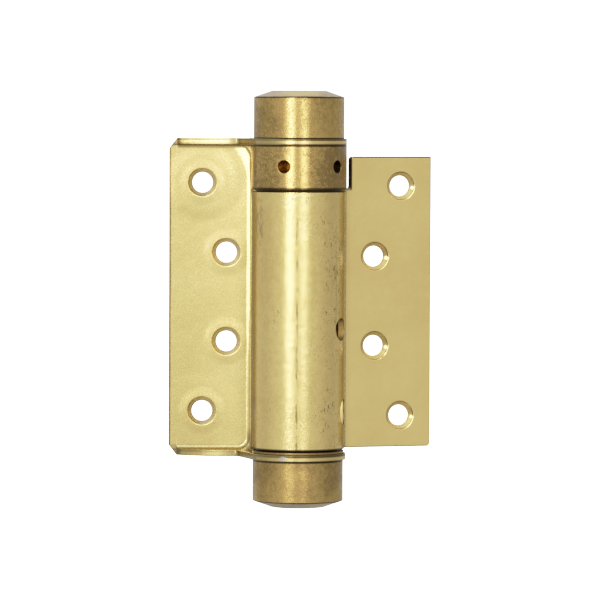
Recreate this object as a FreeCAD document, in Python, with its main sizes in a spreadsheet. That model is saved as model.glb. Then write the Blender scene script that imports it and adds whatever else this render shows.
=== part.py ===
# Single-action spring hinge of the 75 mm size, in brass-plated steel, with its leaves spread open.
#
# The frame leaf is a shallow pressed tray whose top and bottom flanges run on into two round ears.
# The swing leaf is one sheet, folded square at its root and rolled round into the spring barrel.
# A pin through both ears carries the barrel's plug and the tension collar, and two turned caps
# close its ends. The torsion spring works between the plug in the barrel's foot and the collar.
#
# Each piece is drawn round the pin, with the pin's axis at x = 0, y = 0, and then set in the row
# frame: the origin is on the frame leaf's back face, in the middle of its four screw holes, +X runs
# from the frame leaf to the pin, +Y points into the frame that the leaf is screwed to, +Z is up.
import FreeCAD
import Part
import Sketcher

import math
import operator
import os

DRIVING_SIZES = [
    ("leaf_height", 75.0, "frame leaf over its two ears"),
    ("sheet", 1.5, "thickness of the sheet of both leaves"),
    ("frame_reach", 30.6, "pin axis to the free edge of the frame leaf"),
    ("rim_setback", 7.0, "pin axis back to the rim of the tray"),
    ("rim_end_inset", 3.6, "free edge to where the rim's taper ends"),
    ("rim_taper_length", 6.2, "rim's taper, across"),
    ("rim_taper_depth", 2.5, "how far the rim runs back"),
    ("corner_wide", 1.9, "clipped corner of the frame leaf, across"),
    ("corner_high", 2.45, "clipped corner of the frame leaf, up"),
    ("rim_gap", 1.2, "rim of the tray's side wall to the barrel"),
    ("ear_proud", 0.35, "round of the ears beyond the barrel"),
    ("ear_relief", 1.3, "round of the ears to the plane of the leaf's back"),
    ("neck_land", 0.1, "tray's inner corner to the root of the ear's neck"),
    ("neck_fillet", 1.0, "inner round at the root of the neck"),
    ("bend_radius", 1.0, "inner radius of the tray's bends"),
    ("fold_skin", 0.3, "sheet left under the outside round of the folds"),
    ("tray_corner", 2.8, "round between flange and side wall"),
    ("screw_hole", 4.8, "diameter of the screw holes"),
    ("countersink", 6.8, "mouth of the countersinks"),
    ("outer_hole_spacing", 54.0, "outer screw holes, top to bottom"),
    ("inner_hole_spacing", 21.0, "inner screw holes, top to bottom"),
    ("frame_outer_holes", 22.75, "pin axis to the frame leaf's outer holes"),
    ("frame_inner_holes", 17.05, "pin axis to the frame leaf's inner holes"),
    ("swing_outer_holes", 25.0, "pin axis to the swing leaf's outer holes"),
    ("swing_inner_holes", 18.6, "pin axis to the swing leaf's inner holes"),
    ("swing_hole_drop", 0.6, "swing leaf's holes below the frame leaf's"),
    ("swing_reach", 32.5, "pin axis to the free edge of the swing leaf"),
    ("swing_angle", 18.0, "degrees that the swing leaf stands back"),
    ("swing_head_gap", 2.7, "top of the swing leaf to the upper ear"),
    ("notch_gap", 1.75, "collar to the swing leaf's notch"),
    ("notch_round", 0.8, "rounds of the notch and of the lower corner"),
    ("barrel_radius", 10.85, "outside of the rolled barrel"),
    ("root_bend", 0.8, "inner radius of the fold at the leaf's root"),
    ("seam_gap", 0.1, "roll's free edge to the plane of the leaf's front"),
    ("foot_gap", 0.35, "barrel's foot to the thrust washer"),
    ("washer_thickness", 0.65, "thrust washer"),
    ("washer_inset", 0.15, "thrust washer inside the barrel's outside"),
    ("collar_proud", 0.15, "tension collar beyond the barrel"),
    ("collar_height", 10.3, "tension collar without its hub"),
    ("collar_play", 0.1, "collar to the upper ear"),
    ("collar_gap", 0.5, "collar to the barrel's mouth"),
    ("hub_depth", 7.0, "collar's hub inside the barrel"),
    ("tommy_hole", 3.0, "diameter of the tommy holes"),
    ("tommy_depth", 5.5, "depth of the tommy holes"),
    ("tommy_rise", 5.4, "tommy holes above the collar's lower edge"),
    ("tommy_count", 5, "tommy holes round the collar"),
    ("tommy_start", -18.3, "degrees from the front to the first tommy hole"),
    ("cap_inset", 0.25, "turned end cap inside the barrel's outside"),
    ("cap_height", 11.2, "turned end cap with its cone"),
    ("cap_cone", 1.5, "height of the cap's cone"),
    ("cap_cone_width", 4.3, "width of the cap's cone"),
    ("edge_break", 0.25, "broken edges of the turned pieces"),
    ("spindle_radius", 3.0, "pin through the whole hinge"),
    ("spindle_grip", 8.0, "length of pin inside each cap"),
    ("running_fit", 0.05, "radial clearance round the pin and the hub"),
    ("seat_fit", 0.02, "radial clearance of pieces that are pressed in"),
    ("plug_height", 14.0, "plug in the barrel's foot"),
    ("plug_pin_radius", 3.05, "flat-ended pin that locks the plug"),
    ("plug_pin_angle", -8.0, "degrees from +X to the plug's pin"),
    ("plug_pin_rise", 8.6, "plug's pin above the barrel's foot"),
    ("plug_pin_proud", 0.1, "flat end of the pin beyond the barrel"),
    ("plug_pin_depth", 5.0, "inner end of the pin, from the axis"),
    ("window", 5.2, "diameter of the window on the spring"),
    ("window_angle", -22.0, "degrees from +X to the window"),
    ("window_rise", 28.1, "window above the barrel's foot"),
    ("spring_wire", 2.5, "diameter of the spring wire"),
    ("spring_play", 0.5, "coil to the barrel's bore"),
    ("coil_play", 0.1, "least gap between two turns"),
    ("spring_leg", 4.5, "straight ends of the spring in hub and plug"),
    ("spring_leg_ease", 0.12, "straight ends slimmer than the wire, in radius"),
    ("spring_leg_play", 0.15, "radial clearance of the spring's ends"),
    ("spring_leg_angle", 150.0, "degrees from +X to the spring's ends"),
]


class Size:
    """A size as a number for drawing, and as the sheet formula that drives it."""

    def __init__(self, number, formula):
        self.number = number
        self.formula = formula

    def __add__(self, other):
        return combined(self, "+", other)

    def __radd__(self, other):
        return combined(other, "+", self)

    def __sub__(self, other):
        return combined(self, "-", other)

    def __rsub__(self, other):
        return combined(other, "-", self)

    def __mul__(self, other):
        return combined(self, "*", other)

    def __rmul__(self, other):
        return combined(other, "*", self)

    def __truediv__(self, other):
        return combined(self, "/", other)

    def __neg__(self):
        return combined(0, "-", self)


OPERATIONS = {"+": operator.add, "-": operator.sub, "*": operator.mul, "/": operator.truediv}


def as_size(value):
    """A plain number as a Size that nothing drives."""
    if isinstance(value, Size):
        return value
    return Size(float(value), repr(float(value)))


def combined(left, sign, right):
    """Two sizes joined by an arithmetic sign."""
    first = as_size(left)
    second = as_size(right)
    number = OPERATIONS[sign](first.number, second.number)
    return Size(number, f"({first.formula} {sign} {second.formula})")


def root(size):
    """Square root of a size."""
    return Size(math.sqrt(size.number), f"sqrt({size.formula})")


def cosine(angle):
    """Cosine of an angle in degrees."""
    return Size(math.cos(math.radians(angle.number)), f"cos({angle.formula} * 1deg)")


def sine(angle):
    """Sine of an angle in degrees."""
    return Size(math.sin(math.radians(angle.number)), f"sin({angle.formula} * 1deg)")


class Arc:
    """The round edge from one corner of an outline to the next."""

    def __init__(self, centre_x, centre_y, radius, clockwise=False):
        self.centre_x = as_size(centre_x)
        self.centre_y = as_size(centre_y)
        self.radius = as_size(radius)
        self.clockwise = clockwise


def make_sheet(doc):
    """Writes the driving sizes into the sheet and gives them back by name."""
    sheet = doc.addObject("Spreadsheet::Sheet", "sizes")
    named = {}
    for row, (alias, number, meaning) in enumerate(DRIVING_SIZES, start=1):
        sheet.set(f"A{row}", meaning)
        sheet.set(f"B{row}", str(number))
        sheet.setAlias(f"B{row}", alias)
        named[alias] = Size(float(number), f"sizes.{alias}")
    doc.recompute()
    return named


DOC = FreeCAD.newDocument("spring_hinge")
S = make_sheet(DOC)

# Sizes that follow from the driving ones, all from the pin's axis or from mid-height.
HALF_HEIGHT = S["leaf_height"] / 2
EAR_FACE = HALF_HEIGHT - S["sheet"]
COLLAR_RADIUS = S["barrel_radius"] + S["collar_proud"]
WASHER_RADIUS = S["barrel_radius"] - S["washer_inset"]
CAP_RADIUS = S["barrel_radius"] - S["cap_inset"]
EAR_RADIUS = S["barrel_radius"] + S["ear_proud"]
PLATE_BACK = EAR_RADIUS + S["ear_relief"]
PLATE_FRONT = PLATE_BACK - S["sheet"]
RIM_REACH = S["barrel_radius"] + S["rim_gap"]
WALL_OUTER = root(RIM_REACH * RIM_REACH - S["rim_setback"] * S["rim_setback"])
WALL_INNER = WALL_OUTER + S["sheet"]
OUTER_BEND = S["bend_radius"] + S["sheet"]
OUTER_FOLD = S["sheet"] - S["fold_skin"]
NECK_REACH = WALL_INNER + S["tray_corner"] + S["neck_land"]
RIM_TAPER_END = S["frame_reach"] - S["rim_end_inset"]
RIM_TAPER_START = RIM_TAPER_END - S["rim_taper_length"]
AXIS_X = (S["frame_outer_holes"] + S["frame_inner_holes"]) / 2
COLLAR_TOP = EAR_FACE - S["collar_play"]
COLLAR_FOOT = COLLAR_TOP - S["collar_height"]
HUB_FOOT = COLLAR_FOOT - S["hub_depth"]
BARREL_TOP = COLLAR_FOOT - S["collar_gap"]
WASHER_TOP = S["washer_thickness"] - EAR_FACE
BARREL_FOOT = WASHER_TOP + S["foot_gap"]
BARREL_BORE = S["barrel_radius"] - S["sheet"]
SWING_TOP = EAR_FACE - S["swing_head_gap"]
NOTCH_REACH = COLLAR_RADIUS + S["notch_gap"]
PLUG_TOP = WASHER_TOP + S["plug_height"]
PLUG_PIN_LEVEL = BARREL_FOOT + S["plug_pin_rise"]
PIN_BORE = S["spindle_radius"] + S["running_fit"]
COIL_RADIUS = BARREL_BORE - S["spring_play"] - S["spring_wire"] / 2
LEG_SEAT_RADIUS = S["spring_wire"] / 2 + S["spring_leg_play"]
OVERCUT = 5.0


def new_body(label, angle=None):
    """A sub-part, drawn round the pin and set in the row frame, turned about the pin by an angle."""
    body = DOC.addObject("PartDesign::Body", label)
    body.Label = label
    body.setExpression("Placement.Base.x", AXIS_X.formula)
    body.setExpression("Placement.Base.y", (-PLATE_BACK).formula)
    if angle is not None:
        body.setExpression("Placement.Rotation.Angle", angle.formula)
    return body


def new_sketch(body, name, role, lift=0, turn=None):
    """An empty sketch on one of the body's own planes, lifted off it along its normal.

    A turn swings an upright sketch about the pin, in degrees from the front, before it is lifted.
    """
    sketch = body.newObject("Sketcher::SketchObject", name)
    plane = [item for item in body.Origin.OriginFeatures if item.Role == role][0]
    sketch.AttachmentSupport = [(plane, "")]
    sketch.MapMode = "FlatFace"
    distance = as_size(lift)
    if turn is None:
        sketch.setExpression("AttachmentOffset.Base.z", distance.formula)
    else:
        upright = FreeCAD.Rotation(FreeCAD.Vector(0, 1, 0), turn.number)
        sketch.AttachmentOffset = FreeCAD.Placement(FreeCAD.Vector(0, 0, 0), upright)
        sketch.setExpression("AttachmentOffset.Rotation.Angle", turn.formula)
        sketch.setExpression("AttachmentOffset.Base.x", (distance * sine(turn)).formula)
        sketch.setExpression("AttachmentOffset.Base.z", (distance * cosine(turn)).formula)
    DOC.recompute()
    return sketch


def bind(sketch, kind, geometry, point, size, name):
    """One driving dimension of a sketch, measured from the sketch's origin."""
    index = sketch.addConstraint(Sketcher.Constraint(kind, -1, 1, geometry, point, size.number))
    sketch.renameConstraint(index, name)
    sketch.setExpression(f"Constraints.{name}", size.formula)


def bind_radius(sketch, geometry, size, name):
    """The driving radius of a round edge."""
    index = sketch.addConstraint(Sketcher.Constraint("Radius", geometry, size.number))
    sketch.renameConstraint(index, name)
    sketch.setExpression(f"Constraints.{name}", size.formula)


def draw_outline(sketch, corners):
    """Closed outline through corners (across, up), or (across, up, Arc) where a round edge leaves."""
    count = len(corners)
    ends = []
    for index, corner in enumerate(corners):
        following = corners[(index + 1) % count]
        start = FreeCAD.Vector(as_size(corner[0]).number, as_size(corner[1]).number, 0)
        stop = FreeCAD.Vector(as_size(following[0]).number, as_size(following[1]).number, 0)
        if len(corner) == 2:
            sketch.addGeometry(Part.LineSegment(start, stop), False)
            ends.append((1, 2))
            continue
        arc = corner[2]
        centre = FreeCAD.Vector(arc.centre_x.number, arc.centre_y.number, 0)
        if arc.clockwise:
            start, stop = stop, start
        circle = Part.Circle(centre, FreeCAD.Vector(0, 0, 1), arc.radius.number)
        start_angle = math.atan2(start.y - centre.y, start.x - centre.x)
        stop_angle = math.atan2(stop.y - centre.y, stop.x - centre.x)
        if stop_angle <= start_angle:
            stop_angle += 2 * math.pi
        sketch.addGeometry(Part.ArcOfCircle(circle, start_angle, stop_angle), False)
        ends.append((2, 1) if arc.clockwise else (1, 2))
    for index in range(count):
        following = (index + 1) % count
        sketch.addConstraint(
            Sketcher.Constraint("Coincident", index, ends[index][1], following, ends[following][0]))
    for index, corner in enumerate(corners):
        bind(sketch, "DistanceX", index, ends[index][0], as_size(corner[0]), f"across{index}")
        bind(sketch, "DistanceY", index, ends[index][0], as_size(corner[1]), f"up{index}")
        if len(corner) == 3:
            bind_radius(sketch, index, corner[2].radius, f"round{index}")


def draw_circles(sketch, centres, radius):
    """Circles of one radius at centres (across, up)."""
    for index, (across, up) in enumerate(centres):
        centre = FreeCAD.Vector(as_size(across).number, as_size(up).number, 0)
        circle = Part.Circle(centre, FreeCAD.Vector(0, 0, 1), as_size(radius).number)
        sketch.addGeometry(circle, False)
        bind(sketch, "DistanceX", index, 3, as_size(across), f"across{index}")
        bind(sketch, "DistanceY", index, 3, as_size(up), f"up{index}")
        bind_radius(sketch, index, as_size(radius), f"round{index}")


def pad(body, name, sketch, length, symmetric=False):
    """Solid of a sketch, along its normal or to both sides of it."""
    feature = body.newObject("PartDesign::Pad", name)
    feature.Profile = (sketch, [""])
    feature.setExpression("Length", as_size(length).formula)
    feature.SideType = "Symmetric" if symmetric else "One side"
    DOC.recompute()
    return feature


def pocket(body, name, sketch, length, symmetric=False):
    """Cut of a sketch against its normal, or to both sides of it. It has to take something away."""
    before = body.Shape.Volume
    feature = body.newObject("PartDesign::Pocket", name)
    feature.Profile = (sketch, [""])
    feature.setExpression("Length", as_size(length).formula)
    feature.SideType = "Symmetric" if symmetric else "One side"
    DOC.recompute()
    if not feature.Shape.Volume < before:
        raise RuntimeError(f"{body.Label}: {name} cuts nothing")
    return feature


def revolve(body, name, sketch):
    """Solid of a sketch turned once round its upright axis."""
    feature = body.newObject("PartDesign::Revolution", name)
    feature.Profile = (sketch, [""])
    feature.ReferenceAxis = (sketch, ["V_Axis"])
    feature.Angle = 360
    DOC.recompute()
    return feature


def turned_body(label, corners, angle=None):
    """A piece turned on a lathe: its half section (radius, height) goes once round the pin."""
    body = new_body(label, angle)
    sketch = new_sketch(body, f"{label}_section", "XZ_Plane")
    draw_outline(sketch, corners)
    revolve(body, f"{label}_turned", sketch)
    return body


def edges_where(feature, wanted):
    """Names of a feature's edges that pass a test."""
    return [f"Edge{index}" for index, edge in enumerate(feature.Shape.Edges, start=1) if wanted(edge)]


def fillet(body, name, wanted, radius):
    """Rounds the edges of the body so far that pass a test."""
    feature = body.Tip
    chosen = edges_where(feature, wanted)
    if not chosen:
        raise RuntimeError(f"{body.Label}: {name} finds no edge")
    rounded = body.newObject("PartDesign::Fillet", name)
    rounded.Base = (feature, chosen)
    rounded.setExpression("Radius", as_size(radius).formula)
    DOC.recompute()
    return rounded


def is_at(value, size):
    """Whether a coordinate is at a size, within a hundredth."""
    return abs(value - as_size(size).number) < 0.01


def runs_along(edge, direction):
    """Whether an edge is straight and parallel to a direction."""
    if not isinstance(edge.Curve, Part.Line):
        return False
    return abs(abs(edge.Curve.Direction.dot(FreeCAD.Vector(*direction))) - 1) < 0.001


def screw_holes(body, centres, front_lift):
    """Countersunk screw holes through a leaf, opened from its front face."""
    sketch = new_sketch(body, f"{body.Label}_hole_centres", "XZ_Plane", front_lift)
    draw_circles(sketch, centres, S["screw_hole"] / 2)
    hole = body.newObject("PartDesign::Hole", f"{body.Label}_screw_holes")
    hole.Profile = sketch
    hole.DepthType = "ThroughAll"
    hole.Threaded = False
    hole.ThreadType = "None"
    hole.setExpression("Diameter", S["screw_hole"].formula)
    hole.HoleCutType = "Countersink"
    hole.HoleCutCustomValues = True
    hole.HoleCutCountersinkAngle = 90
    hole.setExpression("HoleCutDiameter", S["countersink"].formula)
    DOC.recompute()
    return hole


def hole_centres(outer, inner, middle):
    """Four staggered hole centres: an outer pair far apart and an inner pair close together."""
    centres = []
    for across, spacing in ((outer, S["outer_hole_spacing"]), (inner, S["inner_hole_spacing"])):
        centres.append((across, middle + spacing / 2))
        centres.append((across, middle - spacing / 2))
    return centres


def make_frame_leaf():
    """Pressed tray: plate, side wall by the barrel, and two flanges that run on into the ears."""
    body = new_body("frame_leaf")
    bend_x = -(WALL_INNER + S["bend_radius"])
    bend_y = PLATE_FRONT - S["bend_radius"]

    # Plate and side wall as one bent strip, over the whole height.
    strip = new_sketch(body, "plate_and_wall", "XY_Plane")
    draw_outline(strip, [
        (-S["frame_reach"], PLATE_BACK),
        (-S["frame_reach"], PLATE_FRONT),
        (-WALL_INNER, PLATE_FRONT),
        (-WALL_INNER, S["rim_setback"]),
        (-WALL_OUTER, S["rim_setback"]),
        (-WALL_OUTER, bend_y, Arc(bend_x, bend_y, OUTER_BEND)),
        (bend_x, PLATE_BACK),
    ])
    pad(body, "bent_strip", strip, S["leaf_height"], symmetric=True)

    # Flange and ear as one outline seen from above. The neck leaves the ear on a tangent.
    neck_square = NECK_REACH * NECK_REACH + S["rim_setback"] * S["rim_setback"]
    neck_run = root(neck_square - EAR_RADIUS * EAR_RADIUS)
    touch_x = -(EAR_RADIUS * NECK_REACH + neck_run * S["rim_setback"])
    touch_y = EAR_RADIUS * S["rim_setback"] - neck_run * NECK_REACH
    touch_scale = EAR_RADIUS / neck_square
    tail_rise = EAR_RADIUS - bend_y
    tail_x = bend_x + root(OUTER_BEND * OUTER_BEND - tail_rise * tail_rise)
    flange_end = -(S["frame_reach"] - S["corner_wide"])
    ear_outline = [
        (flange_end, PLATE_BACK),
        (flange_end, PLATE_FRONT),
        (-RIM_TAPER_END, S["rim_setback"] + S["rim_taper_depth"]),
        (-RIM_TAPER_START, S["rim_setback"]),
        (-NECK_REACH, S["rim_setback"]),
        (touch_x * touch_scale, touch_y * touch_scale, Arc(0, 0, EAR_RADIUS)),
        (0, EAR_RADIUS),
        (tail_x, EAR_RADIUS, Arc(bend_x, bend_y, OUTER_BEND)),
        (bend_x, PLATE_BACK),
    ]
    for side, lift in (("upper", EAR_FACE), ("lower", -HALF_HEIGHT)):
        ear = new_sketch(body, f"{side}_flange_and_ear", "XY_Plane", lift)
        draw_outline(ear, ear_outline)
        pad(body, f"{side}_ear", ear, S["sheet"])

    # Clipped corners at the free edge.
    clip_start = HALF_HEIGHT - S["corner_high"]
    for side, sign in (("upper", 1), ("lower", -1)):
        clip = new_sketch(body, f"{side}_clip", "XZ_Plane", -(PLATE_BACK + OVERCUT))
        draw_outline(clip, [
            (-(S["frame_reach"] + OVERCUT), clip_start * sign),
            (-S["frame_reach"], clip_start * sign),
            (flange_end, HALF_HEIGHT * sign),
            (flange_end, (HALF_HEIGHT + OVERCUT) * sign),
            (-(S["frame_reach"] + OVERCUT), (HALF_HEIGHT + OVERCUT) * sign),
        ])
        clipped = body.newObject("PartDesign::Pocket", f"{side}_corner")
        clipped.Profile = (clip, [""])
        clipped.Type = "ThroughAll"
        clipped.Reversed = True
        DOC.recompute()

    # Rounds: the tray's two inner corners, the bend round its floor, the necks and the outer bends.
    fillet(
        body, "tray_corners",
        lambda edge: runs_along(edge, (0, 1, 0)) and is_at(edge.CenterOfMass.x, -WALL_INNER)
        and is_at(abs(edge.CenterOfMass.z), EAR_FACE),
        S["tray_corner"])
    fillet(
        body, "floor_bends",
        lambda edge: edge.BoundBox.YLength < 0.01 and is_at(edge.CenterOfMass.y, PLATE_FRONT)
        and abs(edge.CenterOfMass.z) < EAR_FACE.number + 0.01
        and edge.BoundBox.XMin > flange_end.number - 0.01,
        S["bend_radius"])
    fillet(
        body, "neck_rounds",
        lambda edge: runs_along(edge, (0, 0, 1)) and is_at(edge.CenterOfMass.x, -NECK_REACH)
        and is_at(edge.CenterOfMass.y, S["rim_setback"]),
        S["neck_fillet"])
    fillet(
        body, "outer_bends",
        lambda edge: runs_along(edge, (1, 0, 0)) and is_at(edge.CenterOfMass.y, PLATE_BACK)
        and is_at(abs(edge.CenterOfMass.z), HALF_HEIGHT),
        OUTER_FOLD)

    bores = new_sketch(body, "pin_bores", "XY_Plane")
    draw_circles(bores, [(0, 0)], PIN_BORE)
    pocket(body, "ear_bores", bores, S["leaf_height"] + OVERCUT, symmetric=True)
    centres = hole_centres(-S["frame_outer_holes"], -S["frame_inner_holes"], as_size(0))
    screw_holes(body, centres, -PLATE_FRONT)
    return body


def make_swing_leaf():
    """Leaf and barrel in one sheet. The fold at the root turns the sheet into the roll."""
    body = new_body("swing_leaf", S["swing_angle"])
    half_sheet = S["sheet"] / 2
    fold_y = half_sheet + S["root_bend"]
    fold_reach = S["barrel_radius"] + S["root_bend"]
    fold_x = root(fold_reach * fold_reach - fold_y * fold_y)
    outer_scale = S["barrel_radius"] / fold_reach
    inner_scale = BARREL_BORE / fold_reach
    seam_sine = (half_sheet + S["seam_gap"]) / S["barrel_radius"]
    seam_cosine = root(1 - seam_sine * seam_sine)
    strip = new_sketch(body, "rolled_strip", "XY_Plane", BARREL_FOOT)
    draw_outline(strip, [
        (S["swing_reach"], -half_sheet),
        (S["swing_reach"], half_sheet),
        (fold_x, half_sheet, Arc(fold_x, fold_y, S["root_bend"], clockwise=True)),
        (fold_x * outer_scale, fold_y * outer_scale, Arc(0, 0, S["barrel_radius"])),
        (S["barrel_radius"] * seam_cosine, -S["barrel_radius"] * seam_sine),
        (BARREL_BORE * seam_cosine, -BARREL_BORE * seam_sine,
         Arc(0, 0, BARREL_BORE, clockwise=True)),
        (fold_x * inner_scale, fold_y * inner_scale,
         Arc(fold_x, fold_y, S["root_bend"] + S["sheet"])),
        (fold_x, -half_sheet),
    ])
    pad(body, "rolled_sheet", strip, SWING_TOP - BARREL_FOOT)

    # The roll stops below the collar, and a notch in the leaf leaves room for it.
    notch = new_sketch(body, "notch_outline", "XZ_Plane")
    notch_left = -(S["barrel_radius"] + OVERCUT)
    draw_outline(notch, [
        (notch_left, BARREL_TOP),
        (NOTCH_REACH - S["notch_round"], BARREL_TOP,
         Arc(NOTCH_REACH - S["notch_round"], BARREL_TOP + S["notch_round"], S["notch_round"])),
        (NOTCH_REACH, BARREL_TOP + S["notch_round"]),
        (NOTCH_REACH, SWING_TOP + OVERCUT),
        (notch_left, SWING_TOP + OVERCUT),
    ])
    pocket(body, "notch", notch, 4 * S["barrel_radius"], symmetric=True)
    fillet(
        body, "leaf_corners",
        lambda edge: runs_along(edge, (0, 1, 0)) and (
            is_at(edge.CenterOfMass.x, NOTCH_REACH) and is_at(edge.CenterOfMass.z, SWING_TOP)
            or is_at(edge.CenterOfMass.x, S["swing_reach"])
            and is_at(edge.CenterOfMass.z, BARREL_FOOT)),
        S["notch_round"])

    centres = hole_centres(S["swing_outer_holes"], S["swing_inner_holes"], -S["swing_hole_drop"])
    screw_holes(body, centres, half_sheet)
    for name, angle, rise, radius in (
            ("spring_window", S["window_angle"], S["window_rise"], S["window"] / 2),
            ("plug_pin_hole", S["plug_pin_angle"], S["plug_pin_rise"], S["plug_pin_radius"])):
        drill_across(body, name, angle - S["swing_angle"], BARREL_FOOT + rise, radius)
    return body


def drill_across(body, name, angle, level, radius):
    """Hole outward from the pin's axis through one side of a round piece, at an angle from +X."""
    sketch = new_sketch(body, f"{name}_outline", "XZ_Plane", turn=angle + 90)
    draw_circles(sketch, [(0, level)], radius)
    before = body.Shape.Volume
    drilled = body.newObject("PartDesign::Pocket", name)
    drilled.Profile = (sketch, [""])
    drilled.setExpression("Length", (S["barrel_radius"] + OVERCUT).formula)
    drilled.Reversed = True
    DOC.recompute()
    if not drilled.Shape.Volume < before:
        raise RuntimeError(f"{body.Label}: {name} cuts nothing")
    return drilled


def leg_place(angle):
    """Where a straight end of the spring stands, across and back from the pin's axis."""
    return COIL_RADIUS * cosine(angle), COIL_RADIUS * sine(angle)


def make_collar():
    """Turned collar with a hub in the barrel's mouth, tommy holes and a seat for the spring."""
    edge = S["edge_break"]
    hub_radius = BARREL_BORE - S["running_fit"]
    body = turned_body("tension_collar", [
        (PIN_BORE, HUB_FOOT),
        (hub_radius, HUB_FOOT),
        (hub_radius, COLLAR_FOOT),
        (COLLAR_RADIUS - edge, COLLAR_FOOT),
        (COLLAR_RADIUS, COLLAR_FOOT + edge),
        (COLLAR_RADIUS, COLLAR_TOP - edge),
        (COLLAR_RADIUS - edge, COLLAR_TOP),
        (PIN_BORE, COLLAR_TOP),
    ])
    leg_seat = new_sketch(body, "spring_seat_outline", "XY_Plane", HUB_FOOT)
    draw_circles(leg_seat, [leg_place(S["spring_leg_angle"])], LEG_SEAT_RADIUS)
    seat = body.newObject("PartDesign::Pocket", "spring_seat")
    seat.Profile = (leg_seat, [""])
    seat.setExpression("Length", S["spring_leg"].formula)
    seat.Reversed = True
    DOC.recompute()

    first = new_sketch(
        body, "tommy_outline", "XZ_Plane", COLLAR_RADIUS, S["tommy_start"])
    draw_circles(first, [(0, COLLAR_FOOT + S["tommy_rise"])], S["tommy_hole"] / 2)
    drilled = body.newObject("PartDesign::Hole", "tommy_hole")
    drilled.Profile = first
    drilled.ThreadType = "None"
    drilled.DepthType = "Dimension"
    drilled.DrillPoint = "Angled"
    drilled.DrillPointAngle = 118
    drilled.setExpression("Diameter", S["tommy_hole"].formula)
    drilled.setExpression("Depth", S["tommy_depth"].formula)
    DOC.recompute()
    ring = body.newObject("PartDesign::PolarPattern", "tommy_holes")
    ring.Originals = [drilled]
    upright = [item for item in body.Origin.OriginFeatures if item.Role == "Z_Axis"][0]
    ring.Axis = (upright, [""])
    ring.Angle = 360
    ring.setExpression("Occurrences", S["tommy_count"].formula)
    body.Tip = ring
    DOC.recompute()
    return body


def make_cap(label, side):
    """Turned end cap with a shallow cone and a blind bore for the pin; side is 1 above, -1 below."""
    seat = HALF_HEIGHT
    cone_foot = seat + S["cap_height"] - S["cap_cone"]
    end = seat + S["cap_height"]
    bore = S["spindle_radius"] + S["seat_fit"]
    bore_end = seat + S["spindle_grip"] + S["seat_fit"]
    return turned_body(label, [
        (bore, seat * side),
        (CAP_RADIUS - S["edge_break"], seat * side),
        (CAP_RADIUS, (seat + S["edge_break"]) * side),
        (CAP_RADIUS, cone_foot * side),
        (CAP_RADIUS - S["cap_cone_width"], end * side),
        (0, end * side),
        (0, bore_end * side),
        (bore, bore_end * side),
    ])


def make_spindle():
    """Plain pin from cap to cap."""
    end = HALF_HEIGHT + S["spindle_grip"]
    edge = S["edge_break"]
    radius = S["spindle_radius"]
    return turned_body("spindle", [
        (0, -end),
        (radius - edge, -end),
        (radius, edge - end),
        (radius, end - edge),
        (radius - edge, end),
        (0, end),
    ])


def make_washer():
    """Thin washer between the lower ear and the foot of the barrel."""
    return turned_body("thrust_washer", [
        (PIN_BORE, -EAR_FACE),
        (WASHER_RADIUS, -EAR_FACE),
        (WASHER_RADIUS, WASHER_TOP),
        (PIN_BORE, WASHER_TOP),
    ])


def make_plug():
    """Turned plug that closes the barrel's foot and holds the spring's lower end."""
    edge = S["edge_break"]
    radius = BARREL_BORE - S["seat_fit"]
    body = turned_body("barrel_plug", [
        (PIN_BORE, WASHER_TOP),
        (radius - edge, WASHER_TOP),
        (radius, WASHER_TOP + edge),
        (radius, PLUG_TOP - edge),
        (radius - edge, PLUG_TOP),
        (PIN_BORE, PLUG_TOP),
    ], S["swing_angle"])
    leg_seat = new_sketch(body, "plug_seat_outline", "XY_Plane", PLUG_TOP)
    draw_circles(leg_seat, [leg_place(S["spring_leg_angle"] - S["swing_angle"])], LEG_SEAT_RADIUS)
    pocket(body, "plug_seat", leg_seat, S["spring_leg"])
    angle = S["plug_pin_angle"] - S["swing_angle"]
    outline = new_sketch(body, "cross_bore_outline", "XZ_Plane", S["plug_pin_depth"], angle + 90)
    draw_circles(outline, [(0, PLUG_PIN_LEVEL)], S["plug_pin_radius"])
    bore = body.newObject("PartDesign::Pocket", "cross_bore")
    bore.Profile = (outline, [""])
    bore.setExpression("Length", S["barrel_radius"].formula)
    bore.Reversed = True
    DOC.recompute()
    return body


def make_plug_pin():
    """Flat-ended pin through the barrel's wall into the plug."""
    body = new_body("plug_pin", S["swing_angle"])
    angle = S["plug_pin_angle"] - S["swing_angle"]
    inner = S["plug_pin_depth"] + S["seat_fit"]
    outline = new_sketch(body, "plug_pin_outline", "XZ_Plane", inner, angle + 90)
    draw_circles(outline, [(0, PLUG_PIN_LEVEL)], S["plug_pin_radius"] - S["seat_fit"])
    pad(body, "plug_pin_shank", outline, S["barrel_radius"] + S["plug_pin_proud"] - inner)
    fillet(
        body, "plug_pin_edge",
        lambda edge: math.hypot(edge.CenterOfMass.x, edge.CenterOfMass.y)
        > S["barrel_radius"].number,
        S["edge_break"])
    return body


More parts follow.
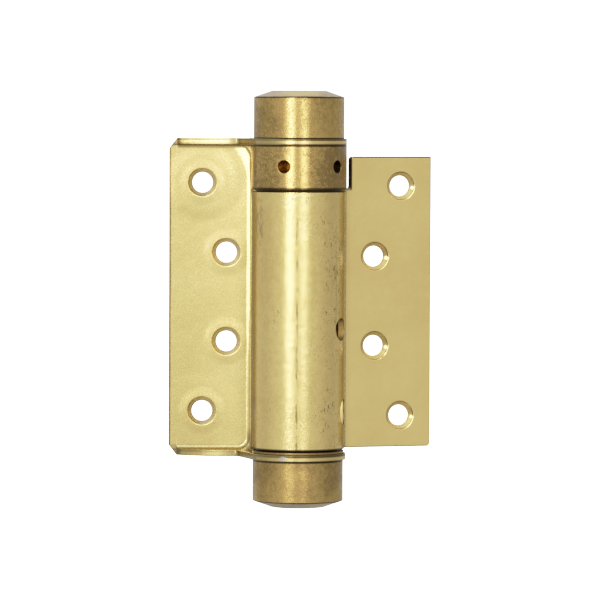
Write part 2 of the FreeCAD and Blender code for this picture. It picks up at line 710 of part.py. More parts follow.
def make_spring():
    """Close-wound torsion spring with a straight end in the plug and one in the collar's hub."""
    wire = S["spring_wire"]
    foot = PLUG_TOP + S["coil_play"] + wire / 2
    head = HUB_FOOT - S["coil_play"] - wire / 2
    turns = math.floor((head - foot).number / (wire + S["coil_play"]).number)
    body = new_body("torsion_spring", S["spring_leg_angle"])
    section = new_sketch(body, "wire_section", "XZ_Plane")
    draw_circles(section, [(COIL_RADIUS, foot)], wire / 2)
    coil = body.newObject("PartDesign::AdditiveHelix", "coil")
    coil.Profile = (section, [""])
    coil.ReferenceAxis = (section, ["V_Axis"])
    coil.Mode = "height-turns-angle"
    coil.setExpression("Height", (head - foot).formula)
    coil.Turns = turns
    coil.Angle = 0
    DOC.recompute()
    for side, level, sign in (("lower", foot, -1), ("upper", head, 1)):
        leg = new_sketch(body, f"{side}_leg_section", "XY_Plane", level)
        draw_circles(leg, [(COIL_RADIUS, 0)], wire / 2 - S["spring_leg_ease"])
        straight = pad(body, f"{side}_leg", leg, wire / 2 + S["spring_leg"] - S["spring_leg_play"])
        straight.Reversed = sign < 0
        DOC.recompute()
    return body


def main():
    """Builds every piece, proves each one sound and writes it to a file of its own."""
    bodies = [
        make_frame_leaf(),
        make_swing_leaf(),
        make_collar(),
        make_cap("top_cap", 1),
        make_cap("bottom_cap", -1),
        make_spindle(),
        make_washer(),
        make_plug(),
        make_plug_pin(),
        make_spring(),
    ]
    DOC.recompute()
    for item in DOC.Objects:
        if "Invalid" in item.State or "Error" in item.State:
            raise RuntimeError(f"{item.Name} failed: {item.State}")
    os.makedirs("parts", exist_ok=True)
    for body in bodies:
        shape = body.Shape
        if shape.isNull() or not shape.isValid() or len(shape.Solids) != 1:
            raise RuntimeError(f"{body.Label} is not one sound solid")
        shape.exportStep(f"parts/{body.Label}.step")
        print(f"{body.Label}: {shape.Volume:.1f} cubic mm, {len(shape.Faces)} faces")


main()
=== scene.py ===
import math

import bmesh
import bpy
from mathutils import Matrix, Vector


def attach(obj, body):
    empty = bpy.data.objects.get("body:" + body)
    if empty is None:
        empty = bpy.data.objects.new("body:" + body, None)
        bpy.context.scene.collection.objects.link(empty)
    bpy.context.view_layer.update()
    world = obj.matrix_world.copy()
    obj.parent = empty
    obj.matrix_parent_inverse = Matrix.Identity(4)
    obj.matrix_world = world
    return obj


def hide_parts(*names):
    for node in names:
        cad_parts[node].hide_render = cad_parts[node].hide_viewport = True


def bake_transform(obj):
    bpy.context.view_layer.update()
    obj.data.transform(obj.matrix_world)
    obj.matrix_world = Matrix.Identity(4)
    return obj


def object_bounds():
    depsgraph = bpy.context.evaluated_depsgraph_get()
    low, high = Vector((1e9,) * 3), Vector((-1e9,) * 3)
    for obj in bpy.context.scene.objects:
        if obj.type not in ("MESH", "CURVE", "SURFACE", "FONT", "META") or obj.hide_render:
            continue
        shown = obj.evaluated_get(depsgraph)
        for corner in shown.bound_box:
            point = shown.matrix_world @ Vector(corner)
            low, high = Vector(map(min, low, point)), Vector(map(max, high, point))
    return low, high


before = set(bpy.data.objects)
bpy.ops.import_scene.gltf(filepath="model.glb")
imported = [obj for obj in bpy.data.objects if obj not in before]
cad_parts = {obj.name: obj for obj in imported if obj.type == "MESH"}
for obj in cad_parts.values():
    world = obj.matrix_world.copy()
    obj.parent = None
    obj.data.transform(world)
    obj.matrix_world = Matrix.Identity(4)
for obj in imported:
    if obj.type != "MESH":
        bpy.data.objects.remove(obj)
CAD_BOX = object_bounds()

MM = 0.001
WELD = 0.5e-6
EASE_STEPS = 4
PIN_X = 19.9 * MM
PIN_Y = -12.5 * MM
SHEET = 1.5 * MM
EDGE_ROUND = 0.13 * MM

# Frame leaf: two shares give the direction across a clipped corner, away from the pin and up
FRAME_REACH = 30.6 * MM
WALL_INSIDE = -11.2 * MM
WALL_OUTSIDE = -9.7 * MM
EAR_FACE = 36.0 * MM
HALF_HEIGHT = 37.5 * MM
CLIP_ACROSS = 0.79
CLIP_UP = 0.61
CLIPPED = CLIP_ACROSS * FRAME_REACH + CLIP_UP * (HALF_HEIGHT - 2.45 * MM)

# Barrel, collar, caps and washer: the first tommy hole is turned from +X by an angle in degrees
BARREL = 10.85 * MM
BORE = BARREL - SHEET
BARREL_TOP = 25.1 * MM
BARREL_FOOT = -35.0 * MM
COLLAR = 11.2 * MM
COLLAR_FOOT = 25.6 * MM
COLLAR_TOP = 35.9 * MM
HUB_FOOT = 18.6 * MM
TOMMY_LEVEL = COLLAR_FOOT + 5.4 * MM
TOMMY_RADIUS = 1.5 * MM
TOMMY_COUNT = 5
FIRST_TOMMY = -90 - 18.3
CAP = 10.6 * MM
CONE_FOOT = 47.2 * MM
CONE_TOP = 48.7 * MM
CONE_FLAT = 6.3 * MM
WASHER = 10.7 * MM
WASHER_TOP = -35.35 * MM
SPINDLE = 3.0 * MM
SPINDLE_TOP = 45.5 * MM
SPINDLE_BORE = 3.05 * MM

# Spring: its straight ends stand at an angle from +X in degrees
WIRE = 1.25 * MM
COIL = 7.6 * MM
PLUG_TOP = -21.35 * MM
SPRING_LEG = 150
LEG_STEPS = 5
TURN_STEPS = 40

# Swing leaf: its window and the plug pin's hole are turned from +X by an angle in degrees
SWING_TOP = 33.3 * MM
SWING_REACH = 32.5 * MM
SWING_ANGLE = math.radians(18.0)
ALONG = (math.cos(SWING_ANGLE), math.sin(SWING_ANGLE))
NOTCH_REACH = 12.68 * MM
NOTCH_FLOOR = COLLAR_FOOT + 0.12 * MM
LEAF_CORNER = 0.8 * MM
WINDOW_TURN = -22.0
WINDOW_LEVEL = -6.9 * MM
WINDOW_RADIUS = 2.6 * MM
PLUG_PIN_TURN = -8.0
PLUG_PIN_LEVEL = -26.4 * MM
PLUG_PIN_RADIUS = 3.03 * MM
PLUG_PIN_END = 10.5 * MM

# Screw holes: places across from the pin and up, the same again below the middle
HOLE_RADIUS = 2.4 * MM
SINK_RADIUS = 3.4 * MM
OUTER_LEVEL = 27 * MM
INNER_LEVEL = 10.5 * MM
FRAME_HOLES = [(-22.75 * MM, OUTER_LEVEL), (-17.05 * MM, INNER_LEVEL)]
SWING_HOLES = [(25.0 * MM, OUTER_LEVEL), (18.6 * MM, INNER_LEVEL)]
SWING_DROP = 0.6 * MM


class Signal:
    """A value that varies over a surface. Arithmetic on it adds the nodes that work it out."""

    def __init__(self, finish, socket):
        self.finish = finish
        self.socket = socket

    def joined(self, operation, first, second):
        return self.finish.node("ShaderNodeMath", {"operation": operation}, {0: first, 1: second})

    def __add__(self, other):
        return self.joined("ADD", self, other)

    def __radd__(self, other):
        return self.joined("ADD", other, self)

    def __sub__(self, other):
        return self.joined("SUBTRACT", self, other)

    def __rsub__(self, other):
        return self.joined("SUBTRACT", other, self)

    def __mul__(self, other):
        return self.joined("MULTIPLY", self, other)

    def __truediv__(self, other):
        return self.joined("DIVIDE", self, other)

    def __pow__(self, other):
        return self.joined("POWER", self, other)

    def larger(self, other):
        return self.joined("MAXIMUM", self, other)

    def size(self):
        return self.joined("ABSOLUTE", self, 0.0)


class Finish:
    """One material, and the nodes that its varying values come from."""

    def __init__(self, name):
        self.material = bpy.data.materials.new(name)
        self.material.use_nodes = True
        self.tree = self.material.node_tree
        self.shader = self.tree.nodes["Principled BSDF"]
        self.place = self.node("ShaderNodeTexCoord", output="Object")

    def node(self, kind, settings=None, inputs=None, output=0):
        """Adds a node: its settings first, then its sockets' values or links."""
        made = self.tree.nodes.new(kind)
        for key, value in (settings or {}).items():
            setattr(made, key, value)
        for key, value in (inputs or {}).items():
            self.feed(made.inputs[key], value)
        return Signal(self, made.outputs[output])

    def feed(self, socket, value):
        """Links a signal to a socket, or sets the socket to a plain value."""
        if isinstance(value, Signal):
            self.tree.links.new(value.socket, socket)
        else:
            socket.default_value = value

    def axis(self, name):
        """One coordinate of the surface, in metres."""
        return self.node("ShaderNodeSeparateXYZ", None, {0: self.place}, name)

    def reach(self, direction):
        """How far the surface lies from the pin along a level direction, in metres."""
        offset = PIN_X * direction[0] + PIN_Y * direction[1]
        return self.node(
            "ShaderNodeVectorMath", {"operation": "DOT_PRODUCT"},
            {0: self.place, 1: (direction[0], direction[1], 0)}, "Value") - offset

    def facing(self, direction):
        """How far the surface faces a direction: 1 towards it, -1 away from it."""
        outward = self.node("ShaderNodeTexCoord", output="Normal")
        return self.node(
            "ShaderNodeVectorMath", {"operation": "DOT_PRODUCT"}, {0: outward, 1: direction}, "Value")

    def leaning(self, share, normal, outward=None):
        """The surface's normal, or another signal, going over into a fixed one where the share is 1."""
        if outward is None:
            outward = self.node("ShaderNodeNewGeometry", output="Normal")
        return self.node(
            "ShaderNodeMix", {"data_type": "VECTOR", "clamp_factor": True},
            {0: share, 4: outward, 5: normal}, 1)

    def stretched(self, factors):
        """The surface's coordinates with each axis scaled."""
        return self.node(
            "ShaderNodeVectorMath", {"operation": "MULTIPLY"}, {0: self.place, 1: factors})

    def noise(self, scale, detail=4.0, roughness=0.55, stretch=(1, 1, 1), shift=0.0):
        """Cloudy noise about 0.5, with features of about 1 / scale metres."""
        moved = self.node(
            "ShaderNodeVectorMath", {"operation": "ADD"},
            {0: self.stretched(stretch), 1: (shift, shift * 0.7, -shift)})
        return self.node("ShaderNodeTexNoise", None, {
            "Vector": moved, "Scale": scale, "Detail": detail, "Roughness": roughness})

    def pits(self, scale, stretch=(1, 1, 1)):
        """Distance to the nearest of many scattered points, in cells."""
        return self.node("ShaderNodeTexVoronoi", None, {
            "Vector": self.stretched(stretch), "Scale": scale, "Randomness": 1.0})

    def ramp(self, value, low, high, start=0.0, stop=1.0):
        """A smooth climb from start to stop as the value goes from low to high."""
        return self.node(
            "ShaderNodeMapRange", {"interpolation_type": "SMOOTHSTEP", "clamp": True},
            {"Value": value, "From Min": low, "From Max": high, "To Min": start, "To Max": stop})

    def fade(self, value, near, far, start=1.0):
        """A smooth fall from start to 0 as the value goes from near to far."""
        return self.ramp(value, near, far, start, 0.0)

    def blended(self, factor, first, second):
        """One colour going over into another."""
        return self.node(
            "ShaderNodeMix", {"data_type": "RGBA", "clamp_factor": True},
            {0: factor, 6: first, 7: second}, 2)

    def relief(self, height, depth, under=None):
        """Normal of a surface whose height runs from 0 to 1 over a depth in metres."""
        inputs = {"Strength": 1.0, "Distance": depth, "Height": height}
        if under is not None:
            inputs["Normal"] = under
        return self.node("ShaderNodeBump", None, inputs)

    def apply(self, values):
        """Feeds the shader's sockets by name."""
        for key, value in values.items():
            self.feed(self.shader.inputs[key], value)
        return self.material


PLATE = (0.82, 0.648, 0.27, 1.0)
PLATE_SHADE = (0.70, 0.53, 0.20, 1.0)
SPECK = (0.10, 0.065, 0.025, 1.0)
TURNED = (0.56, 0.388, 0.135, 1.0)
TARNISH = (0.25, 0.165, 0.065, 1.0)
# Painted shade in gaps and along edges where parts meet.
DARK_SHADE = (0.045, 0.028, 0.014, 1.0)
# Brown of sheared edges; also painted shade in gaps, corners and along edges.
SHEARED_AND_SHADE = (0.085, 0.052, 0.023, 1.0)
# A darker gold: painted shade at the tray's foot, and the darker, mottled ear and lower flange.
DARK_GOLD = (0.40, 0.33, 0.15, 1.0)
# Painted shade in the frame leaf's countersinks: a duller, darker ring.
RING = (0.64, 0.55, 0.34, 1.0)
# Painted shade in the swing leaf's countersinks.
SINK = (0.62, 0.49, 0.22, 1.0)
# Painted shade on the barrel's sides, in the crease and at the window's ends.
SHADE_BROWN = (0.20, 0.155, 0.08, 1.0)
# The window's bored wall, painted bright as if lit.
TAN = (0.60, 0.41, 0.13, 1.0)
COPPER = (0.48, 0.31, 0.11, 1.0)
# A pale bronze, painted light so the spring shows bright through the window inside the shaded barrel.
BRONZE = (0.90, 0.72, 0.42, 1.0)
STEEL = (0.42, 0.41, 0.40, 1.0)
BARE = (0.50, 0.49, 0.47, 1.0)
GREYED = (0.46, 0.40, 0.28, 1.0)
BLACK = (0.0, 0.0, 0.0, 1.0)


def painted(finish, base, layers):
    """A base colour with others laid over it in turn, each by its own mask."""
    for mask, colour in layers:
        base = finish.blended(mask, base, colour)
    return base


def level_band(finish, level, reach):
    """1 at a height, fading to 0 over a reach to both sides."""
    return finish.fade((finish.axis("Z") - level).size(), reach * 0.4, reach)


def patch(finish, across, up, wide, high, ragged=0.5):
    """1 in the middle of an oval patch, seen from the front, fading to 0 at its ragged rim."""
    side = (finish.axis("X") - (PIN_X + across)) / wide
    level = (finish.axis("Z") - up) / high
    far = (side * side + level * level) ** 0.5
    rim = finish.noise(700, detail=5, roughness=0.65, shift=across * 900)
    return finish.fade(far + (rim - 0.5) * ragged * 3.0, 0.35, 1.15)


def near_pin(finish, near, far, strength=1.0):
    """A strength up to a near radius round the pin, fading to 0 at a far one."""
    radius = (finish.reach((1, 0)) ** 2.0 + finish.reach((0, 1)) ** 2.0) ** 0.5
    return finish.fade(radius, near, far, strength)


def by_screw_hole(finish, across, up, holes, near, far):
    """1 round the screw holes up to a near radius, fading to 0 at a far one.

    Holes are places along the leaf and up from its middle, the same again below it.
    """
    mask = None
    for place, level in holes:
        side = across - place
        height = up.size() - level
        ring = finish.fade((side * side + height * height) ** 0.5, near, far)
        mask = ring if mask is None else mask.larger(ring)
    return mask


def countersunk(finish, across, up, holes, back):
    """1 on the countersinks' cones, and 0 on the leaf's flat back round the same holes."""
    cones = by_screw_hole(finish, across, up, holes, SINK_RADIUS - 0.28 * MM, SINK_RADIUS - 0.12 * MM)
    return cones * finish.fade(finish.facing(back), 0.9, 0.95)


def plated_sheet(finish, marks, worn=0.0, smooth=0.0):
    """Bright brass plate on pressed sheet: fine grain, faint clouding, pits and short upright scores.

    Marks is the share of pits and scores, worn how much more of them a place has, and smooth how
    much of the grain it lacks. Worn and smooth are numbers or signals.
    """
    clouds = finish.noise(60, detail=4)
    calm = 1.0 - smooth * 0.7
    grain = 0.5 + (finish.noise(2600, detail=4, roughness=0.8, shift=3.1) - 0.5) * calm
    mottle = 0.5 + (finish.noise(520, detail=5, roughness=0.75, shift=8.2) - 0.5) * calm
    rare = finish.noise(130, detail=4, shift=7.7) + worn * 0.20
    dots = finish.fade(finish.pits(1700), 0.14, 0.30)
    scores = finish.fade(finish.pits(1300, (1.0, 1.0, 0.26)), 0.12, 0.24)
    wear = (dots * finish.ramp(rare, 0.60 - 0.12 * marks, 0.80)
            + scores * finish.ramp(rare, 0.62 - 0.12 * marks, 0.84, 0.0, marks))
    shade = finish.ramp(clouds * 0.5 + grain * 0.7 + mottle * 0.7, 0.72, 1.22)
    base = painted(finish, PLATE, [(shade, PLATE_SHADE), (wear * 0.75, SPECK)])
    return base, grain + mottle * 0.6 - 0.3, wear, clouds


def plate_values(finish, base, grain, wear, rough, uneven, under=None, depth=0.025 * MM, metal=1.0):
    """Feeds the shader of plated sheet, and returns its material.

    Uneven is the depth of its slow waves and depth that of its grain. Under is the normal that
    they start from, and metal how metallic it is.
    """
    waves = finish.noise(75, detail=5, roughness=0.62, shift=11.0)
    dishing = finish.relief(waves, uneven, under)
    return finish.apply({
        "Base Color": base,
        "Metallic": metal,
        "Roughness": rough + grain * 0.08 + wear * 0.2,
        "Normal": finish.relief(grain - wear * 0.8, depth, dishing),
    })


def frame_borders(finish, across, up, ragged):
    """The frame leaf's brown sheared edges, and painted shade lines along its ears and flanges, as paint
    layers.
    """
    height = up.size()
    below = finish.fade(up, -MM, MM)
    free_edge = finish.fade(across + ragged, 0.2 * MM - FRAME_REACH, 0.65 * MM - FRAME_REACH)
    clipped = finish.ramp(
        height * CLIP_UP - across * CLIP_ACROSS + ragged, CLIPPED - 0.35 * MM, CLIPPED - 0.05 * MM)
    on_ear = finish.ramp(across, -13.0 * MM, -11.0 * MM) * (1.0 - below)
    outer_line = finish.ramp(
        height + ragged * 0.6 + (on_ear * 0.17 - below * 0.12) * MM,
        HALF_HEIGHT - 0.45 * MM, HALF_HEIGHT - 0.15 * MM)
    inner_line = finish.fade(
        (height - EAR_FACE + ragged * 0.4 - below * 0.26 * MM).size(), 0.14 * MM, 0.50 * MM)
    by_ear = finish.ramp(across, -17 * MM, -11 * MM, 0.52, 0.95)
    upper_seam = finish.fade((height + ragged * 0.3 - 37.15 * MM).size(), 0.06 * MM, 0.24 * MM, 0.6)
    lower_seam = finish.fade((height + ragged * 0.5 - 36.35 * MM).size(), 0.1 * MM, 0.45 * MM, 0.35)
    on_upper_flange = finish.fade(across, -17.5 * MM, -14.5 * MM) * (1.0 - below)
    return [
        (free_edge.larger(clipped) * 0.8, SHEARED_AND_SHADE),
        # painted shade lines along the ears' outer edges by the caps, and their inner edges by the collar
        # and washer
        (outer_line.larger(inner_line) * by_ear, SHEARED_AND_SHADE),
        # painted shade lines along the upper flange's top and bottom edges
        (upper_seam.larger(lower_seam) * on_upper_flange, SHEARED_AND_SHADE),
    ]


def frame_shade_and_stains(finish, across, up, grain, clouds, ragged):
    """The frame leaf's painted shade by its side wall and at its foot, its darker ear and lower flange, dark
    tips and a bare patch, as paint layers.
    """
    height = up.size()
    tray_side = finish.fade(across, WALL_OUTSIDE, WALL_OUTSIDE + 0.1 * MM)
    # painted shade in the corner where the plate meets the side wall, at its foot
    inner_corner = (finish.ramp(across, WALL_INSIDE - 1.2 * MM, WALL_INSIDE - 0.7 * MM) * tray_side
                    * finish.fade(up, -34.0 * MM, -30.0 * MM, 0.6))
    # painted shade, dimming a highlight in the foot's corner
    foot_corner = patch(finish, -12.7 * MM, -35.1 * MM, 1.5 * MM, 1.0 * MM, 0.15)
    # the ear darker and mottled next to the barrel
    darker_ear = (finish.ramp(height, EAR_FACE - 0.1 * MM, EAR_FACE + 0.1 * MM)
                * finish.ramp(across, -18.0 * MM, -15.0 * MM)
                * finish.ramp(across, -6.0 * MM, -2.0 * MM, 1.0, 0.1)
                * finish.ramp(grain + clouds, 0.6, 1.3, 0.35, 0.80))
    moved = finish.ramp(up, 22.0 * MM, 27.0 * MM, 0.0, 0.2 * MM)
    # painted shade on the front of the tray's side wall
    wall = (finish.ramp(across + moved, WALL_INSIDE, WALL_INSIDE + 0.2 * MM) * tray_side
            * finish.ramp(up, 22.0 * MM, 27.0 * MM, 0.75, 0.90)
            * finish.fade(height, EAR_FACE - 0.4 * MM, EAR_FACE - 0.1 * MM))
    tips = (finish.ramp(height, EAR_FACE - 0.4 * MM, EAR_FACE)
            * finish.fade(across + ragged * 2.0, -28.3 * MM, -27.4 * MM))
    # the lower flange's front darker and mottled
    foot_rim = (finish.fade(up, 0.05 * MM - EAR_FACE, 0.3 * MM - EAR_FACE)
                * finish.fade(across, -13 * MM, -11 * MM)
                * finish.ramp(grain + clouds * 0.6, 0.55, 1.05, 0.25, 0.9))
    scraped = patch(finish, -3.5 * MM, -36.75 * MM, 1.0 * MM, 0.6 * MM, 0.15)
    # painted shade, dimming the highlight in the bend at the foot
    foot_bend = (level_band(finish, -35.4 * MM, 0.6 * MM)
                 * finish.fade(across, -13 * MM, -12 * MM))
    return [
        (inner_corner, SHEARED_AND_SHADE),
        (foot_corner * 0.7, DARK_GOLD),
        (darker_ear, DARK_GOLD),
        (wall, SHEARED_AND_SHADE),
        (tips * 0.8, SHEARED_AND_SHADE),
        (foot_rim, DARK_GOLD),
        (scraped * 0.9, BARE),
        (foot_bend * 0.7, DARK_GOLD),
    ]


def plate_bend(finish, across, up):
    """1 in the strip where the frame leaf's plate bends up into its side wall, wider at its top."""
    corner = ((up - 28.0 * MM) / (7.0 * MM)).larger(0.0)
    start = WALL_INSIDE - MM - corner * corner * 2.3 * MM
    stop = (WALL_INSIDE - 0.2 * MM - finish.ramp(up, 26.0 * MM, 30.0 * MM, 0.0, 0.2 * MM)
            - finish.ramp(up, 33.0 * MM, 35.3 * MM, 0.0, MM))
    return (finish.ramp(across - start, -0.4 * MM - corner * 1.6 * MM, 0.35 * MM + corner * 0.8 * MM)
            * finish.fade(across - stop, -0.2 * MM, 0.2 * MM)
            * finish.ramp(up, -30.0 * MM, 5.0 * MM, 0.4, 1.0)
            * finish.fade(up.size(), 35.0 * MM, 35.6 * MM))


def leaf_plate():
    """The frame leaf's plating: brown borders with painted shade lines, painted shade in the countersinks
    and over the plate, and a plate bent up by its side wall.
    """
    finish = Finish("bright_plate")
    base, grain, wear, clouds = plated_sheet(finish, 0.3, smooth=0.8)
    across = finish.axis("X") - PIN_X
    up = finish.axis("Z")
    ragged = (clouds - 0.5) * 0.5 * MM + (grain - 0.5) * 0.5 * MM
    holes = countersunk(finish, across, up, FRAME_HOLES, (0, 1, 0))
    grain = 0.5 + (grain - 0.5) * (1.0 - holes * 0.9)

    bent = plate_bend(finish, across, up)
    # painted shade: the plate darker to the left and towards its foot, except in the bend
    dim = (finish.ramp(across, -29.0 * MM, -14.0 * MM, 0.16, 0.03)
           + finish.fade(up, -34.0 * MM, 10.0 * MM, 0.05))
    base = painted(finish, base, [
        # painted shade in the countersinks
        (holes * 0.8, RING),
        *frame_borders(finish, across, up, ragged),
        *frame_shade_and_stains(finish, across, up, grain, clouds, ragged),
        (dim * (1.0 - bent), BLACK),
    ])

    rim = (finish.ramp(up, EAR_FACE - 0.1 * MM, EAR_FACE + 0.1 * MM)
           * finish.fade(across, -18.5 * MM, -15.0 * MM, 0.8))
    rising = (finish.ramp(across, -18.5 * MM, -12.5 * MM, 0.0, 0.26) * finish.ramp(up, 0.0, 16.0 * MM)
              * finish.fade(up.size(), 35.0 * MM, 35.6 * MM))
    in_front = finish.ramp(finish.facing((0, -1, 0)), -0.05, 0.15)
    lit = finish.leaning(bent.larger(rim).larger(rising) * in_front, (-0.18, -0.98, 0.02))
    dish = by_screw_hole(finish, across, up, FRAME_HOLES, SINK_RADIUS - 0.2 * MM, SINK_RADIUS + 2.6 * MM)
    hollow = by_screw_hole(
        finish, across, up, FRAME_HOLES[:1], SINK_RADIUS + 2.2 * MM, SINK_RADIUS + 6.4 * MM)
    hollow = hollow * finish.ramp(up, -MM, MM, 0.4, 1.5)
    under = finish.relief(dish + hollow, 0.10 * MM, lit)
    return plate_values(finish, base, grain, wear, 0.235 + holes * 0.06, 0.13 * MM, under, 0.014 * MM)


def swing_glints(finish, across, up):
    """A glint in each of the swing leaf's countersinks, at their right side and a little low."""
    glints = None
    for place, level in SWING_HOLES:
        right = across - (place + 3.0 * MM)
        for side in (1, -1):
            below = up - (side * level - SWING_DROP - 0.4 * MM)
            glint = finish.fade((right * right + below * below) ** 0.5, 0.1 * MM, 0.75 * MM, 0.9)
            glints = glint if glints is None else glints.larger(glint)
    return glints * finish.ramp(finish.facing((ALONG[1], -ALONG[0], 0)), 0.3, 0.5)


def swing_borders(finish, across, up, flat, holes):
    """The swing leaf's brown sheared edges, with painted shade on the notch's edge under the collar, as
    paint layers.
    """
    edge_on = (finish.facing((*ALONG, 0)).size() * flat).larger(finish.facing((0, 0, 1)).size())
    cut_faces = finish.ramp(edge_on, 0.35, 0.8)
    notch_edge = (finish.fade(across, NOTCH_REACH + 0.1 * MM, NOTCH_REACH + 0.3 * MM)
                  * finish.ramp(up, BARREL_TOP, BARREL_TOP + 0.8 * MM))
    top_edge = finish.ramp(up, SWING_TOP - 0.35 * MM, SWING_TOP - 0.15 * MM)
    far_edge = finish.ramp(across, SWING_REACH - 0.35 * MM, SWING_REACH - 0.1 * MM, 0.0, 0.45)
    foot_edge = finish.fade(up, BARREL_FOOT + 0.1 * MM, BARREL_FOOT + 0.4 * MM, 0.6)
    borders = notch_edge.larger(top_edge).larger(far_edge).larger(foot_edge) * flat
    return [
        (cut_faces.larger(borders) * (1.0 - holes) * 0.97, SHEARED_AND_SHADE),
        # painted shade on the notch's edge under the collar
        (notch_edge * cut_faces * 0.9, DARK_SHADE),
    ]


def barrel_shades(finish, across, side, flat, grain, clouds):
    """Painted shade on the barrel's left and right sides, in the crease where the leaf leaves it and on the
    leaf beside it, as paint layers.
    """
    # painted shade on the barrel's left and right sides
    left = finish.fade((side + 10.45 * MM).size(), 0.2 * MM, 0.85 * MM, 0.62)
    right = finish.ramp(side, 9.95 * MM, 10.5 * MM, 0.0, 0.6)
    # painted shade on the leaf beside the crease
    beside = finish.fade(across, 11.1 * MM, 13.0 * MM, 0.14)
    # painted shade in the crease
    crease = (finish.fade((across - 10.8 * MM).size(), 0.15 * MM, 0.95 * MM)
              * finish.ramp(clouds + grain, 0.7, 1.3, 0.5, 0.8))
    return [
        (left.larger(right) * (1.0 - flat), SHADE_BROWN),
        (beside * flat, SHEARED_AND_SHADE),
        (crease, SHADE_BROWN),
    ]


def barrel_marks(finish, side, up, flat, window):
    """The window's bored wall painted tan as if lit, with painted shade at its ends and at the barrel's
    rims, its scored line and its smudges, as paint layers.
    """
    window_ends = finish.ramp((up - WINDOW_LEVEL).size(), 0.8 * MM, 2.4 * MM, 0.0, 0.7)
    # painted shade where the barrel meets the collar and the washer
    rims = level_band(finish, BARREL_TOP, 0.1 * MM).larger(level_band(finish, BARREL_FOOT, 0.5 * MM))
    streaks = finish.noise(800, detail=4, stretch=(1, 1, 0.3), shift=5.0)
    line = (finish.fade((side + 0.35 * MM).size(), 0.10 * MM, 0.36 * MM)
            * finish.ramp(finish.facing((0, -1, 0)), 0.2, 0.6))
    right_smudge = patch(finish, 8.1 * MM, 6.2 * MM, 0.8 * MM, 3.0 * MM)
    left_smudge = patch(finish, -9.2 * MM, 17.5 * MM, 1.0 * MM, 7.0 * MM)
    return [
        (window, TAN),
        (window * window_ends, SHADE_BROWN),
        (rims * (1.0 - flat) * 0.9, DARK_SHADE),
        (line * finish.ramp(streaks, 0.46, 0.60) * 0.6, SPECK),
        (right_smudge.larger(left_smudge) * finish.ramp(streaks, 0.40, 0.62) * 0.5, SPECK),
    ]


def rolled_plate():
    """The swing leaf's plating, with brown sheared edges, painted shade in its countersinks, on the barrel's
    sides and in the crease at the barrel, and painted glints in the countersinks.
    """
    finish = Finish("rolled_plate")
    across = finish.reach(ALONG)
    side = finish.axis("X") - PIN_X
    up = finish.axis("Z")
    flat = finish.ramp(across, 11.4 * MM, 11.6 * MM)
    right_side = finish.ramp(side, 3.5 * MM, 6.5 * MM) - finish.ramp(side, 10 * MM, 11 * MM, 0.0, 1.6)
    base, grain, wear, clouds = plated_sheet(finish, 1.0, right_side, flat)
    holes = countersunk(finish, across, up + SWING_DROP, SWING_HOLES, (-ALONG[1], ALONG[0], 0))
    grain = 0.5 + (grain - 0.5) * (1.0 - holes * 0.95)
    wear = wear * (1.0 - holes)

    glints = swing_glints(finish, across, up)
    # the window's bored wall, painted bright tan as if lit
    window = (near_pin(finish, BARREL - 0.3 * MM, BARREL - 0.12 * MM)
              * level_band(finish, WINDOW_LEVEL, 3.2 * MM) * finish.ramp(side, 7 * MM, 8 * MM))
    base = painted(finish, base, [
        # painted shade in the countersinks
        (holes * 0.85, SINK),
        (glints, PLATE),
        *swing_borders(finish, across, up, flat, holes),
        *barrel_shades(finish, across, side, flat, grain, clouds),
        *barrel_marks(finish, side, up, flat, window),
    ])

    turned_away = (finish.fade(side, -10.85 * MM, -10.0 * MM, 0.31)
                   * finish.ramp(finish.facing((0, -1, 0)), -0.15, 0.1))
    lit = finish.leaning(glints, (-0.18, -0.98, 0.06), finish.leaning(turned_away, (0, -1, 0)))
    rough = 0.175 + holes * (1.0 - glints) * 0.22 + window * 0.35
    return plate_values(finish, base, grain, wear, rough, 0.16 * MM, lit, metal=1.0 - window * 0.85)


def pin_plate():
    """The plug pin's plating, evenly bright on the side of it that shows."""
    finish = Finish("pin_plate")
    base, grain, wear, _ = plated_sheet(finish, 0.0, smooth=1.0)
    lit = finish.leaning(0.85, (0.25, -0.97, 0))
    return plate_values(finish, base, grain, wear, 0.3, 0.02 * MM, lit)


def cone_shades(finish):
    """The caps' greyed cones with painted shade at their sides and on the upper one's right, and a painted
    highlight as a pale oval on the upper one, as paint layers.
    """
    side = finish.axis("X") - PIN_X
    up = finish.axis("Z")
    cone = finish.ramp(up.size(), CONE_FOOT + 0.1 * MM, CONE_FOOT + 0.25 * MM)
    # painted shade: darker at the cones' sides
    sides = finish.ramp((side - 1.2 * MM).size(), 2.5 * MM, 8.0 * MM)
    # painted shade on the upper cone's right
    top_right = finish.ramp(side, 4.2 * MM, 5.4 * MM, 0.0, 0.30) * finish.ramp(up, 0.0, MM)
    # painted highlight: a pale oval on the upper cone
    oval = patch(finish, 0.3 * MM, 48.2 * MM, 5.6 * MM, 1.1 * MM, 0.05)
    return [
        (cone * (0.35 + sides * 0.25), GREYED),
        (cone * (0.27 + sides * 0.22 + top_right), TARNISH),
        (cone * oval * 0.4, PLATE),
    ]


def tommy_shades(finish):
    """The coppery inside of the tommy hole in front, with a glint on its wall, as paint layers."""
    inside = (near_pin(finish, COLLAR - 0.8 * MM, COLLAR - 0.45 * MM, 0.95)
              * finish.fade((finish.axis("Z") - TOMMY_LEVEL).size(), 1.8 * MM, 2.0 * MM)
              * finish.fade(finish.axis("X") - PIN_X, 2 * MM, 4 * MM))
    glint = patch(finish, -2.45 * MM, TOMMY_LEVEL - 0.3 * MM, 0.55 * MM, 0.95 * MM, 0.1)
    return [(inside, COPPER), (inside * glint, PLATE)]


